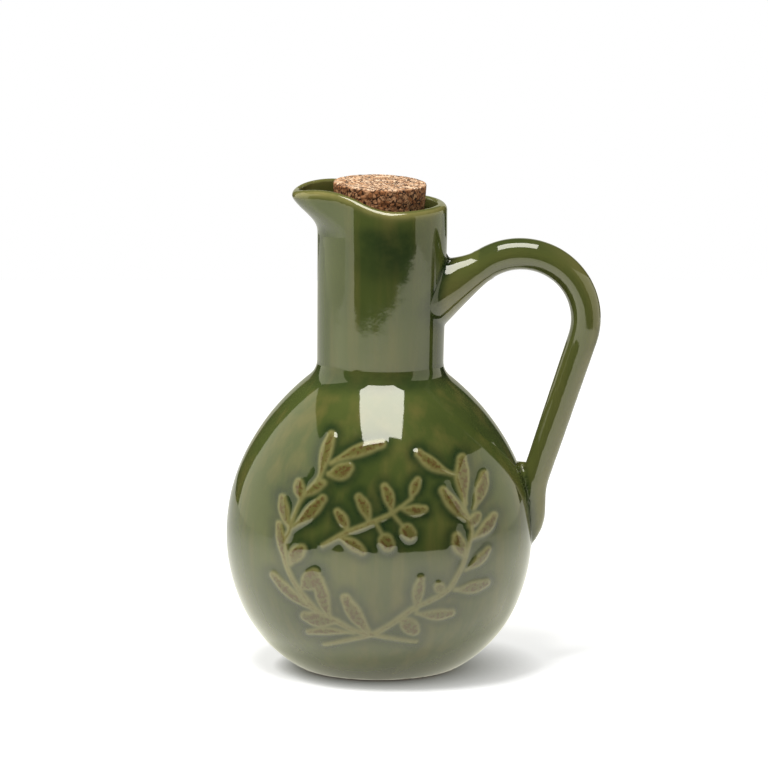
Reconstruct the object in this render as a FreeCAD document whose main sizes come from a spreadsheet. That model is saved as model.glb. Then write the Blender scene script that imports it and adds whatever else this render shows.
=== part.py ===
"""A small stoneware jug with a pinched spout and a pulled handle, closed by a cork.

Frame: +Z up, the spout towards -X, the handle towards +X, the origin at the middle of the foot.
Lengths are in millimetres and angles in degrees.
"""
import FreeCAD, Part
import math
import os
import Sketcher
from FreeCAD import Vector

# Every size that can be chosen by itself: name, value, what it is.
SIZES = [
    # body
    ("bellyRadius", 55.1, "widest radius of the body"),
    ("bellyHeight", 48.8, "height of the widest circle"),
    ("lowerArc", 63.9, "radius of the wall's curve just under the widest circle"),
    ("heelDrop", 25.4, "how far under the widest circle that curve passes into the heel's curve"),
    ("footRadius", 27.4, "radius of the flat foot"),
    ("footEdge", 1.0, "rounding where the curve from the heel meets the flat foot"),
    ("upperArc", 65.8, "radius of the wall's curve just over the widest circle"),
    ("shoulderRise", 33.1, "how far over the widest circle that curve passes into the shoulder"),
    ("shoulderArc", 89.1, "radius of the shoulder's curve"),
    ("bodyWall", 4.8, "wall of the body"),
    ("floorWall", 6.0, "thickness of the floor"),
    ("floorEdge", 7.0, "rounding inside between wall and floor"),
    # neck and mouth
    ("neckLength", 87.9, "height of the rim, on the handle's side, over the start of the shoulder"),
    ("neckRadius", 22.4, "outer radius of the neck at the shoulder"),
    ("neckFillet", 4.0, "hollow between shoulder and neck"),
    ("mouthRadius", 23.3, "outer radius of the neck under the rim"),
    ("mouthShift", 1.2, "how far the mouth stands towards the handle"),
    ("lipWall", 3.6, "wall of the mouth at the rim"),
    ("lipEdge", 1.5, "rounding of the rim's edges"),
    ("seatDrop", 6.8, "how far under the rim the mouth has narrowed to the bore"),
    # spout
    ("spoutRise", 6.4, "how much higher the rim is over the spout"),
    ("riseStart", 8.0, "distance from the axis, on the handle's side, where the rim starts to rise"),
    ("riseEnd", 20.0, "distance from the axis, on the spout's side, where the rim is highest"),
    ("droopArc", 45.0, "radius of the rim's slight droop towards the tip"),
    ("spoutDrop", 9.8, "how far under the rim the spout leaves the neck"),
    ("spoutSpread", 12.0, "height over which the spout draws out to its full reach"),
    ("spoutReach", 31.6, "distance of the spout's tip from the axis"),
    ("spoutRadius", 13.8, "outer radius of the spout's tip, seen from above"),
    # cork
    ("corkStand", 7.4, "height of the cork's top face over the rim"),
    ("corkShift", 0.4, "place of the cork's top face along X"),
    ("corkTilt", 1.8, "lean of the cork towards the handle"),
    ("corkRadius", 16.85, "radius of the cork's top"),
    ("corkFoot", 15.2, "radius of the cork's foot"),
    ("corkLength", 26.0, "length of the cork"),
    ("corkEdge", 0.8, "rounding of the cork's edges"),
    ("corkFit", 0.3, "clearance between cork and bore"),
    # handle
    ("rootDepth", 7.4, "how deep inside the neck the flared root starts"),
    ("rootDrop", 36.6, "how far under the rim the root's middle starts"),
    ("rootRadius", 14.5, "radius of the root where it starts"),
    ("rootLength", 15.3, "how far outside the neck the root has narrowed to the handle"),
    ("bendDrop", 22.8, "how far under the rim the handle's middle line is there"),
    ("bendSlope", 34.0, "slope of the handle there"),
    ("gripRadius", 5.75, "radius of the handle at its top"),
    ("tailRadius", 4.75, "radius of the handle where it ends on the body"),
    ("handleReach", 19.2, "how far the handle's middle line stands out past the belly"),
    ("tailRise", 12.2, "how far over the widest circle the handle has come down onto the body"),
    ("tailStand", 0.1, "how far the handle's middle line lies outside the belly there"),
    ("tailBend", 30.0, "radius of the bend onto the body"),
    ("hookRadius", 20.0, "radius of the bend into the body"),
    ("hookTurn", 40.0, "turn of that bend"),
    ("creaseFillet", 1.5, "rounding where the handle meets neck and body"),
]

# How far up its height each section of the mouth lies, as shares: outside, and inside.
OUTER_STEPS = (0.0, 0.25, 0.5, 0.75, 1.0, 1.8)
INNER_STEPS = (0.0, 0.25, 0.5, 0.75, 1.0, 1.4)
# How far the round of the mouth's inside has opened out at each of its sections.
FUNNEL = (0.0, 0.72, 0.97, 1.0, 1.0, 1.0)


class Size:
    """A length or angle as a number for drawing and as a formula that follows the sheet."""

    def __init__(self, formula, number):
        self.formula = formula
        self.number = number

    def joined(self, sign, other, number):
        right = other.formula if isinstance(other, Size) else repr(other)
        return Size("(%s %s %s)" % (self.formula, sign, right), number)

    def __add__(self, other):
        return self.joined("+", other, self.number + plain(other))

    def __sub__(self, other):
        return self.joined("-", other, self.number - plain(other))

    def __mul__(self, other):
        return self.joined("*", other, self.number * plain(other))

    def __truediv__(self, other):
        return self.joined("/", other, self.number / plain(other))


def plain(value):
    return value.number if isinstance(value, Size) else float(value)


def sine(angle):
    return Size("sin(%s)" % angle.formula, math.sin(math.radians(angle.number)))


def cosine(angle):
    return Size("cos(%s)" % angle.formula, math.cos(math.radians(angle.number)))


def square_root(value):
    return Size("sqrt(%s)" % value.formula, math.sqrt(value.number))


doc = FreeCAD.newDocument("CorkedJug")
sheet = doc.addObject("Spreadsheet::Sheet", "Sizes")
size = {}
for row, (name, value, meaning) in enumerate(SIZES, start=1):
    sheet.set("A%d" % row, meaning)
    sheet.set("B%d" % row, str(value))
    sheet.setAlias("B%d" % row, name)
    size[name] = Size("Sizes." + name, value)
doc.recompute()
nothing = Size("0", 0.0)

# Heights over the foot that several pieces share.
shoulder_height = size["bellyHeight"] + size["shoulderRise"]
rim_height = shoulder_height + size["neckLength"]
crest_height = rim_height + size["spoutRise"]
spout_start = rim_height - size["spoutDrop"]
spout_full = spout_start + size["spoutSpread"]
seat_height = rim_height - size["seatDrop"]
cork_height = rim_height + size["corkStand"]


# ---- sketching ----------------------------------------------------------------------------------

def sketch_on(body, name, role, offset=None):
    """A sketch on one of the body's own origin planes, or that far in front of it."""
    made = body.newObject("Sketcher::SketchObject", name)
    plane = next(item for item in body.Origin.OriginFeatures if item.Role == role)
    made.AttachmentSupport = [(plane, "")]
    made.MapMode = "FlatFace"
    if offset is not None:
        made.setExpression("AttachmentOffset.Base.z", offset.formula)
    return made


def bind(sketch, kind, *where):
    """Add a dimension whose last argument is a Size, and tie it to the sheet."""
    value = where[-1]
    index = sketch.addConstraint(Sketcher.Constraint(kind, *where[:-1], value.number))
    sketch.setExpression("Constraints[%d]" % index, value.formula)


def relate(sketch, *rules):
    for rule in rules:
        sketch.addConstraint(Sketcher.Constraint(*rule))


def line(start, end):
    return Part.LineSegment(Vector(start[0], start[1], 0), Vector(end[0], end[1], 0))


def arc(centre, radius, start, end):
    """An arc that runs anticlockwise between two angles in degrees."""
    circle = Part.Circle(Vector(centre[0], centre[1], 0), Vector(0, 0, 1), radius)
    return Part.ArcOfCircle(circle, math.radians(start), math.radians(end))


def on_circle(centre, radius, angle):
    turn = math.radians(angle)
    return centre[0] + radius * math.cos(turn), centre[1] + radius * math.sin(turn)


def feature_of(body, kind, name, profile, **settings):
    """Add a PartDesign feature made from a profile sketch."""
    made = body.newObject("PartDesign::" + kind, name)
    made.Profile = profile
    for key, value in settings.items():
        setattr(made, key, value)
    doc.recompute()
    return made


def turned(body, kind, name, profile):
    """A Revolution or Groove all round the profile's upright axis."""
    return feature_of(body, kind, name, profile, ReferenceAxis=(profile, ["V_Axis"]), Angle=360.0)


def rounded(body, name, base, wanted, radius):
    """Round the edges of the last feature that pass a test."""
    edges = ["Edge%d" % number for number, edge in enumerate(base.Shape.Edges, start=1)
             if wanted(edge, edge.valueAt((edge.FirstParameter + edge.LastParameter) / 2))]
    made = body.newObject("PartDesign::Fillet", name)
    made.Base = (base, edges)
    made.setExpression("Radius", radius.formula)
    doc.recompute()
    return made


# ---- body of the jug ----------------------------------------------------------------------------

def heel_arc():
    """Radius of the curve that leaves the lower wall smoothly and touches the foot's small edge."""
    down = size["heelDrop"] / size["lowerArc"]
    level = square_root(nothing + 1.0 - down * down)
    # From the middle of the foot's edge to the place where the curve starts.
    across = size["bellyRadius"] - size["lowerArc"] + size["lowerArc"] * level - size["footRadius"]
    edge = size["footEdge"]
    up = size["bellyHeight"] - size["heelDrop"] - edge
    outward = across * level - up * down
    return (across * across + up * up - edge * edge) / (outward - edge) / 2.0


def body_profile(body, name, inset, floor, edge):
    """Half of the body's upright section, drawn that far inside the outer surface."""
    radius, height = size["bellyRadius"] - inset, size["bellyHeight"]
    drop, rise = size["heelDrop"], size["shoulderRise"]
    lower, foot = size["lowerArc"] - inset, heel_arc() - inset
    upper, shoulder = size["upperArc"] - inset, size["shoulderArc"] - inset
    throat = size["corkFoot"] * 0.8

    down = math.degrees(math.asin(drop.number / size["lowerArc"].number))
    up = math.degrees(math.asin(rise.number / size["upperArc"].number))
    lower_mid = (radius.number - lower.number, height.number)
    upper_mid = (radius.number - upper.number, height.number)
    foot_mid = on_circle(lower_mid, lower.number - foot.number, -down)
    shoulder_mid = on_circle(upper_mid, upper.number - shoulder.number, up)
    # The small arc at the foot touches the floor line and lies inside the heel's arc.
    gap = foot.number - edge.number
    reach = floor.number + edge.number - foot_mid[1]
    tip = -math.degrees(math.asin(-reach / gap))
    edge_mid = on_circle(foot_mid, gap, tip)
    close = math.degrees(math.acos((throat.number - shoulder_mid[0]) / shoulder.number))
    top = on_circle(shoulder_mid, shoulder.number, close)

    sketch = sketch_on(body, name, "XZ_Plane")
    sketch.addGeometry([
        line((0, floor.number), (edge_mid[0], floor.number)),
        arc(edge_mid, edge.number, -90, tip),
        arc(foot_mid, foot.number, tip, -down),
        arc(lower_mid, lower.number, -down, 0),
        arc(upper_mid, upper.number, 0, up),
        arc(shoulder_mid, shoulder.number, up, close),
        line(top, (0, top[1])),
        line((0, top[1]), (0, floor.number)),
    ])
    for first in range(5):
        relate(sketch, ("Tangent", first, 2, first + 1, 1))
    relate(sketch, ("Coincident", 5, 2, 6, 1), ("Coincident", 6, 2, 7, 1), ("Coincident", 7, 2, 0, 1),
           ("Horizontal", 0), ("Horizontal", 6), ("PointOnObject", 6, 2, -2), ("PointOnObject", 0, 1, -2))
    for item, length in ((1, edge), (2, foot), (3, lower), (4, upper), (5, shoulder)):
        bind(sketch, "Radius", item, length)
    bind(sketch, "DistanceX", -1, 1, 3, 2, radius)
    bind(sketch, "DistanceY", -1, 1, 3, 2, height)
    bind(sketch, "DistanceY", -1, 1, 3, 3, height)
    bind(sketch, "DistanceY", -1, 1, 2, 2, height - lower * drop / size["lowerArc"])
    bind(sketch, "DistanceY", -1, 1, 4, 2, height + upper * rise / size["upperArc"])
    bind(sketch, "DistanceX", -1, 1, 5, 2, throat)
    if floor is nothing:
        relate(sketch, ("PointOnObject", 0, 1, -1))
    else:
        bind(sketch, "DistanceY", -1, 1, 0, 1, floor)
    return sketch


def round_section(body, name, height, radius, shift):
    """A level circle round the neck."""
    sketch = sketch_on(body, name, "XY_Plane", height)
    sketch.addGeometry(Part.Circle(Vector(shift.number, 0, 0), Vector(0, 0, 1), radius.number))
    relate(sketch, ("PointOnObject", 0, 3, -1))
    bind(sketch, "Radius", 0, radius)
    bind(sketch, "DistanceX", -1, 1, 0, 3, shift)
    return sketch


def parted_circle(body, name, height, radius, shift, split):
    """A level circle in four pieces like those of a drop outline, for a loft to join one to one."""
    sketch = sketch_on(body, name, "XY_Plane", height)
    turns = (-split, split, split + 2, 358 - split, 360 - split)
    middle = (shift.number, 0)
    sketch.addGeometry([arc(middle, radius.number, a, b) for a, b in zip(turns, turns[1:])])
    for item in range(4):
        relate(sketch, ("Coincident", item, 2, (item + 1) % 4, 1))
    relate(sketch, ("Coincident", 0, 3, 1, 3), ("Coincident", 0, 3, 2, 3), ("Equal", 0, 3),
           ("PointOnObject", 0, 3, -1), ("Symmetric", 0, 1, 0, 2, -1), ("Symmetric", 2, 1, 2, 2, -1))
    for item, turn in ((1, split), (2, split + 2)):
        across = Size("(%s * cos(%s))" % (radius.formula, turn), on_circle((0, 0), radius.number, turn)[0])
        bind(sketch, "DistanceX", 0, 3, item, 1, across)
    bind(sketch, "Radius", 0, radius)
    bind(sketch, "DistanceX", -1, 1, 0, 3, shift)
    return sketch


def drop_section(body, name, height, radius, shift, tip, tip_radius):
    """A level outline round the mouth: a circle drawn out to the rounder tip of the spout."""
    sketch = sketch_on(body, name, "XY_Plane", height)
    middle = (shift.number, 0)
    nose = (tip_radius.number - tip.number, 0)
    angle = drop_angle(radius, shift, tip, tip_radius)
    sketch.addGeometry([
        arc(middle, radius.number, -angle, angle),
        line(on_circle(middle, radius.number, angle), on_circle(nose, tip_radius.number, angle)),
        arc(nose, tip_radius.number, angle, 360 - angle),
        line(on_circle(nose, tip_radius.number, -angle), on_circle(middle, radius.number, -angle)),
    ])
    relate(sketch, ("Tangent", 0, 2, 1, 1), ("Tangent", 1, 2, 2, 1), ("Tangent", 2, 2, 3, 1),
           ("Tangent", 3, 2, 0, 1), ("PointOnObject", 0, 3, -1), ("PointOnObject", 2, 3, -1))
    bind(sketch, "Radius", 0, radius)
    bind(sketch, "Radius", 2, tip_radius)
    bind(sketch, "DistanceX", -1, 1, 0, 3, shift)
    bind(sketch, "DistanceX", 2, 3, -1, 1, tip - tip_radius)
    return sketch


def drop_angle(radius, shift, tip, tip_radius):
    """Where the straight flanks of a drop outline leave its large circle."""
    apart = shift.number + tip.number - tip_radius.number
    return math.degrees(math.acos((tip_radius.number - radius.number) / apart))


def mouth_sections(body, name, bottom, top, steps, radii, shifts, reach, tip_radius):
    """Sections from a circle at the bottom to the full drop outline of the spout at the top."""
    split = drop_angle(radii[-1], shifts[-1], reach, tip_radius)
    sections = [parted_circle(body, name + "0", bottom, radii[0], shifts[0], split)]
    for item in range(1, len(steps)):
        share = min(steps[item], 1.0)
        drawn = share * share * (3 - 2 * share)
        radius, shift = radii[item], shifts[item]
        round_tip = radius - shift
        sections.append(drop_section(
            body, name + str(item), bottom + (top - bottom) * steps[item], radius, shift,
            round_tip + (reach - round_tip) * drawn, radius + (tip_radius - radius) * drawn))
    return sections


def rim_outline(body):
    """What is cut off above the rim: level at the handle, rising in an S to the spout, then drooping."""
    wide, high = size["spoutReach"] * 1.5, crest_height * 1.1
    low, crest = rim_height.number, crest_height.number
    start, end, droop = size["riseStart"].number, -size["riseEnd"].number, size["droopArc"].number
    bend = ((start - end) ** 2 + (crest - low) ** 2) / (4 * (crest - low))
    turn = math.degrees(math.asin((start - end) / 2 / bend))
    fall = math.degrees(math.asin((wide.number + end) / droop))
    corner = on_circle((end, crest - droop), droop, 90 + fall)
    left, right, top = (corner[0], high.number), (wide.number, high.number), (wide.number, low)
    sketch = sketch_on(body, "RimOutline", "XZ_Plane")
    sketch.addGeometry([
        line(top, (start, low)),
        arc((start, low + bend), bend, -90 - turn, -90),
        arc((end, crest - bend), bend, 90 - turn, 90),
        arc((end, crest - droop), droop, 90, 90 + fall),
        line(corner, left),
        line(left, right),
        line(right, top),
    ])
    relate(sketch, ("Tangent", 0, 2, 1, 2), ("Tangent", 1, 1, 2, 1), ("Tangent", 2, 2, 3, 1),
           ("Coincident", 3, 2, 4, 1), ("Coincident", 4, 2, 5, 1), ("Coincident", 5, 2, 6, 1),
           ("Coincident", 6, 2, 0, 1), ("Horizontal", 0), ("Vertical", 4), ("Horizontal", 5),
           ("Vertical", 6), ("Equal", 1, 2))
    bind(sketch, "DistanceX", -1, 1, 0, 2, size["riseStart"])
    bind(sketch, "DistanceY", -1, 1, 0, 2, rim_height)
    bind(sketch, "DistanceX", 2, 2, -1, 1, size["riseEnd"])
    bind(sketch, "DistanceX", 2, 3, -1, 1, size["riseEnd"])
    bind(sketch, "DistanceY", -1, 1, 2, 2, crest_height)
    bind(sketch, "Radius", 3, size["droopArc"])
    bind(sketch, "DistanceX", 3, 2, -1, 1, wide)
    bind(sketch, "DistanceX", -1, 1, 6, 1, wide)
    bind(sketch, "DistanceY", -1, 1, 6, 1, high)
    return sketch


def rim_level(across):
    """Height of the rim at a place along X, by the same curves as the rim's outline."""
    low, crest = rim_height.number, crest_height.number
    start, end, droop = size["riseStart"].number, -size["riseEnd"].number, size["droopArc"].number
    bend = ((start - end) ** 2 + (crest - low) ** 2) / (4 * (crest - low))
    if across >= start:
        return low
    if across >= (start + end) / 2:
        return low + bend - math.sqrt(bend ** 2 - (start - across) ** 2)
    if across >= end:
        return crest - bend + math.sqrt(bend ** 2 - (across - end) ** 2)
    return crest - droop + math.sqrt(droop ** 2 - (end - across) ** 2)


def along_rim(edge, middle):
    """Whether an edge runs round the rim, rather than across its wall."""
    span = edge.LastParameter - edge.FirstParameter
    points = [edge.valueAt(edge.FirstParameter + span * share) for share in (0.2, 0.5, 0.8)]
    level = all(abs(point.z - rim_level(point.x)) < 0.05 for point in points)
    return level and edge.Curve.TypeId != "Part::GeomLine"


# ---- handle -------------------------------------------------------------------------------------

def handle_path(body):
    """Middle line of the handle: over from the end of its root, straight down and onto the body."""
    rise, tail, hook = size["bendSlope"], size["tailBend"], size["hookRadius"]
    start_x, start_z = size["neckRadius"] + size["rootLength"], rim_height - size["bendDrop"]
    down_x, down_z = size["bellyRadius"] + size["tailStand"], size["bellyHeight"] + size["tailRise"]
    top = (down_x + size["handleReach"] - start_x) / (sine(rise) + 1.0)

    top_mid = on_circle((start_x.number, start_z.number), -top.number, 90 + rise.number)
    tail_mid = (down_x.number + tail.number, down_z.number)
    hook_mid = (down_x.number - hook.number, down_z.number)
    # Slant of the straight drop, which touches both the top bend and the bend onto the body.
    across, fall = tail_mid[0] - top_mid[0], top_mid[1] - tail_mid[1]
    slant = math.degrees(math.atan2(fall, across)
                         - math.acos((top.number + tail.number) / math.hypot(across, fall)))
    sketch = sketch_on(body, "HandlePath", "XZ_Plane")
    sketch.addGeometry([
        arc(top_mid, top.number, -slant, 90 + rise.number),
        line(on_circle(top_mid, top.number, -slant), on_circle(tail_mid, tail.number, 180 - slant)),
        arc(tail_mid, tail.number, 180 - slant, 180),
        arc(hook_mid, hook.number, -size["hookTurn"].number, 0),
    ])
    relate(sketch, ("Tangent", 0, 1, 1, 1), ("Tangent", 1, 2, 2, 1), ("Tangent", 2, 2, 3, 2))
    bind(sketch, "DistanceX", -1, 1, 0, 2, start_x)
    bind(sketch, "DistanceY", -1, 1, 0, 2, start_z)
    bind(sketch, "DistanceX", 0, 2, 0, 3, top * sine(rise))
    bind(sketch, "Radius", 0, top)
    bind(sketch, "Radius", 2, tail)
    bind(sketch, "Radius", 3, hook)
    bind(sketch, "DistanceX", -1, 1, 2, 2, down_x)
    bind(sketch, "DistanceY", -1, 1, 2, 2, down_z)
    bind(sketch, "DistanceY", -1, 1, 2, 3, down_z)
    bind(sketch, "DistanceY", -1, 1, 3, 1, down_z - hook * sine(size["hookTurn"]))
    doc.recompute()
    return sketch


def root_section(body):
    """The upright circle inside the neck's wall from which the handle's root narrows."""
    sketch = sketch_on(body, "RootStart", "YZ_Plane", size["neckRadius"] - size["rootDepth"])
    height, radius = rim_height - size["rootDrop"], size["rootRadius"]
    sketch.addGeometry(Part.Circle(Vector(0, height.number, 0), Vector(0, 0, 1), radius.number))
    relate(sketch, ("PointOnObject", 0, 3, -2))
    bind(sketch, "DistanceY", -1, 1, 0, 3, height)
    bind(sketch, "Radius", 0, radius)
    return sketch


def tube_section(body, name, path, higher, radius):
    """A circle square to the handle's middle line, at its higher or its lower end."""
    wanted = (max if higher else min)(path.Shape.Vertexes, key=lambda vertex: vertex.Z).Point
    number, edge = next((number, edge) for number, edge in enumerate(path.Shape.Edges, start=1)
                        if min(wanted.distanceToPoint(end.Point) for end in edge.Vertexes) < 0.001)
    at_start = wanted.distanceToPoint(edge.valueAt(edge.FirstParameter)) < 0.001
    sketch = body.newObject("Sketcher::SketchObject", name)
    sketch.AttachmentSupport = [(path, "Edge%d" % number)]
    sketch.MapMode = "NormalToEdge"
    sketch.MapPathParameter = 0.0 if at_start else 1.0
    sketch.addGeometry(Part.Circle(Vector(0, 0, 0), Vector(0, 0, 1), radius.number))
    relate(sketch, ("Coincident", 0, 3, -1, 1))
    bind(sketch, "Radius", 0, radius)
    doc.recompute()
    return sketch


def crease(before):
    """A test for the edges where something new meets the surface that a solid had before."""
    skin, lines = before.Shape.Shells[0], Part.Compound(before.Shape.Edges)

    def meets(edge, middle):
        point = Part.Vertex(middle)
        return skin.distToShape(point)[0] < 0.001 and lines.distToShape(point)[0] > 0.01

    return meets


# ---- cork and its bore --------------------------------------------------------------------------

def cork_radius(depth):
    """Radius of the cork that far under its top face."""
    return size["corkRadius"] - (size["corkRadius"] - size["corkFoot"]) / size["corkLength"] * depth


def bore_outline(body, start):
    """Half of the bore's section about the cork's axis: the cork's taper, then straight down."""
    depth = cork_height - start
    wide, slim = cork_radius(depth) + size["corkFit"], size["corkFoot"] + size["corkFit"]
    foot, deep = size["corkLength"], cork_height - shoulder_height
    sketch = sketch_on(body, "BoreOutline", "XZ_Plane")
    sketch.setExpression("AttachmentOffset.Base.x", size["corkShift"].formula)
    sketch.setExpression("AttachmentOffset.Base.y", cork_height.formula)
    sketch.setExpression("AttachmentOffset.Rotation.Yaw", "-" + size["corkTilt"].formula)
    corners = [(0, -depth.number), (wide.number, -depth.number), (slim.number, -foot.number),
               (slim.number, -deep.number), (0, -deep.number)]
    sketch.addGeometry([line(a, b) for a, b in zip(corners, corners[1:] + corners[:1])])
    for item in range(5):
        relate(sketch, ("Coincident", item, 2, (item + 1) % 5, 1))
    relate(sketch, ("Horizontal", 0), ("Vertical", 2), ("Horizontal", 3),
           ("PointOnObject", 0, 1, -2), ("PointOnObject", 3, 2, -2))
    bind(sketch, "DistanceX", -1, 1, 0, 2, wide)
    bind(sketch, "DistanceX", -1, 1, 1, 2, slim)
    bind(sketch, "DistanceY", 0, 1, -1, 1, depth)
    bind(sketch, "DistanceY", 1, 2, -1, 1, foot)
    bind(sketch, "DistanceY", 2, 2, -1, 1, deep)
    return sketch


def cork_outline(body):
    """Half of the cork's section, with the middle of its top face at the origin."""
    sketch = sketch_on(body, "CorkOutline", "XZ_Plane")
    top, foot, length = size["corkRadius"], size["corkFoot"], size["corkLength"]
    corners = [(0, 0), (0, -length.number), (foot.number, -length.number), (top.number, 0)]
    sketch.addGeometry([line(a, b) for a, b in zip(corners, corners[1:] + corners[:1])])
    for item in range(4):
        relate(sketch, ("Coincident", item, 2, (item + 1) % 4, 1))
    relate(sketch, ("Coincident", 0, 1, -1, 1), ("Vertical", 0), ("Horizontal", 1), ("Horizontal", 3))
    bind(sketch, "DistanceY", 1, 1, -1, 1, length)
    bind(sketch, "DistanceX", -1, 1, 1, 2, foot)
    bind(sketch, "DistanceX", -1, 1, 2, 2, top)
    return sketch


# ---- the pieces ---------------------------------------------------------------------------------

def make_jug():
    """Body, neck, spout and handle as one hollow solid."""
    body = doc.addObject("PartDesign::Body", "Jug")
    body.Label = "jug"
    outline = body_profile(body, "BodyOutline", nothing, nothing, size["footEdge"])
    turned(body, "Revolution", "Belly", outline)

    bottom, top = spout_start, spout_full
    radius, shift = size["mouthRadius"], size["mouthShift"]
    base = round_section(body, "NeckBase", shoulder_height, size["neckRadius"], nothing)
    feature_of(body, "AdditiveLoft", "Neck", base,
               Sections=[round_section(body, "NeckTop", bottom, radius, shift)])
    sections = mouth_sections(body, "MouthOutside", bottom, top, OUTER_STEPS, [radius] * 6, [shift] * 6,
                              size["spoutReach"], size["spoutRadius"])
    feature_of(body, "AdditiveLoft", "Mouth", sections[0], Sections=sections[1:])
    rim = feature_of(body, "Pocket", "Rim", rim_outline(body), Type="ThroughAll", Midplane=True)
    above = shoulder_height.number + 1
    plain_jug = rounded(body, "NeckHollow", rim, lambda edge, middle:
                        edge.Closed and above < middle.z < bottom.number, size["neckFillet"])

    path = handle_path(body)
    root_end = tube_section(body, "RootEnd", path, True, size["gripRadius"])
    feature_of(body, "AdditiveLoft", "HandleRoot", root_section(body), Sections=[root_end])
    tail_end = tube_section(body, "TailEnd", path, False, size["tailRadius"])
    handle = feature_of(body, "AdditivePipe", "Handle", root_end, Transformation="Multisection",
                        Spine=(path, ["Edge1", "Edge2", "Edge3", "Edge4"]), Sections=[tail_end])
    rounded(body, "HandleCreases", handle, crease(plain_jug), size["creaseFillet"])

    cavity = body_profile(body, "CavityOutline", size["bodyWall"], size["floorWall"], size["floorEdge"])
    turned(body, "Groove", "Cavity", cavity)
    # The bore starts above the narrowest place, inside the mouth, and the mouth's funnel starts
    # below it and inside the bore, so that the two meet along one clean line.
    seat = seat_height
    turned(body, "Groove", "Bore", bore_outline(body, seat + 3.0))
    narrow, wide = cork_radius(cork_height - seat) - 0.7, size["mouthRadius"] - size["lipWall"]
    radii = [narrow + (wide - narrow) * share for share in FUNNEL]
    shifts = [size["mouthShift"] * share for share in FUNNEL]
    sections = mouth_sections(body, "MouthInside", seat - 2.0, top + 1.5, INNER_STEPS, radii, shifts,
                              size["spoutReach"] - size["lipWall"], size["spoutRadius"] - size["lipWall"])
    inside = feature_of(body, "SubtractiveLoft", "MouthHollow", sections[0], Sections=sections[1:])
    rounded(body, "Lip", inside, along_rim, size["lipEdge"])
    return body


def make_cork():
    """The stopper, a tapered plug that leans with its bore."""
    body = doc.addObject("PartDesign::Body", "Cork")
    body.Label = "cork"
    plug = turned(body, "Revolution", "Plug", cork_outline(body))
    rounded(body, "PlugEdges", plug, lambda edge, middle: edge.Closed, size["corkEdge"])
    body.setExpression("Placement.Base.x", size["corkShift"].formula)
    body.setExpression("Placement.Base.z", cork_height.formula)
    body.setExpression("Placement.Rotation.Pitch", size["corkTilt"].formula)
    doc.recompute()
    return body


def write(bodies):
    """Check the whole document, then write each piece."""
    doc.recompute()
    for item in doc.Objects:
        if "Invalid" in item.State or "Error" in item.State:
            raise RuntimeError("%s did not build" % item.Name)
    for body in bodies:
        if body.Shape.isNull() or not body.Shape.isValid() or len(body.Shape.Solids) != 1:
            raise RuntimeError("%s is not one whole solid" % body.Label)
    os.makedirs("parts", exist_ok=True)
    for body in bodies:
        body.Shape.exportStep("parts/%s.step" % body.Label)
        print("%s: %.1f cubic centimetres" % (body.Label, body.Shape.Volume / 1000))


write([make_jug(), make_cork()])
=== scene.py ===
import math
import bmesh
import bpy
import numpy as np
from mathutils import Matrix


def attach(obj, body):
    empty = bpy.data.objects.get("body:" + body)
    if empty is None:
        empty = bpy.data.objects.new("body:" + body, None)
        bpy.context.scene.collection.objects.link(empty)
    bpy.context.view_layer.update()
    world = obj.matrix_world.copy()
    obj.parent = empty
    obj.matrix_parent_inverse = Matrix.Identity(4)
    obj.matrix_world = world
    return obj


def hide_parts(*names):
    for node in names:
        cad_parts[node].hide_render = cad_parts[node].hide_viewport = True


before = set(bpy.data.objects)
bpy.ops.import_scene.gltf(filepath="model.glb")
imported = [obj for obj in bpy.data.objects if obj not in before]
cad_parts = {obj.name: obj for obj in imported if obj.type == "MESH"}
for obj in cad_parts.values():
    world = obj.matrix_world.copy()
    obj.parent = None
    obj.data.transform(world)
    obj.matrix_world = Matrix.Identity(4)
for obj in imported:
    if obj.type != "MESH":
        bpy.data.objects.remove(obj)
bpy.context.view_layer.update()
mm = 0.001


def hexColour(code):  # sRGB hex to the linear colour that a shader takes
    parts = [int(code[i:i + 2], 16) / 255 for i in (1, 3, 5)]
    return tuple(c / 12.92 if c <= 0.04045 else ((c + 0.055) / 1.055) ** 2.4 for c in parts) + (1.0,)


def addNode(tree, kind, links=(), **settings):
    made = tree.nodes.new(kind)
    for name, value in settings.items():
        setattr(made, name, value)
    for socket, source in dict(links).items():
        if isinstance(source, bpy.types.NodeSocket):
            tree.links.new(source, made.inputs[socket])
        else:
            made.inputs[socket].default_value = source
    return made


def newMaterial(name):
    material = bpy.data.materials.new(name)
    material.use_nodes = True
    material.node_tree.nodes.clear()
    return material, material.node_tree


def addObject(name, mesh):
    made = bpy.data.objects.new(name, mesh)
    bpy.context.scene.collection.objects.link(made)
    return made


def smoothStep(value):
    t = np.clip(value, 0.0, 1.0)
    return t * t * (3 - 2 * t)


def band(value, start, startWidth, end, endWidth):  # 1 between start and end, with soft borders
    return smoothStep((value - start) / startWidth) * smoothStep((end - value) / endWidth)


def unit(vectors):
    return vectors / np.linalg.norm(vectors, axis=1)[:, None]


def perMetre(size):  # how often a pattern of this many millimetres repeats in a metre
    return 1 / (size * mm)


def smootherStep(value):
    t = np.clip(value, 0.0, 1.0)
    return t * t * t * (10 - 15 * t + 6 * t * t)


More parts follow.
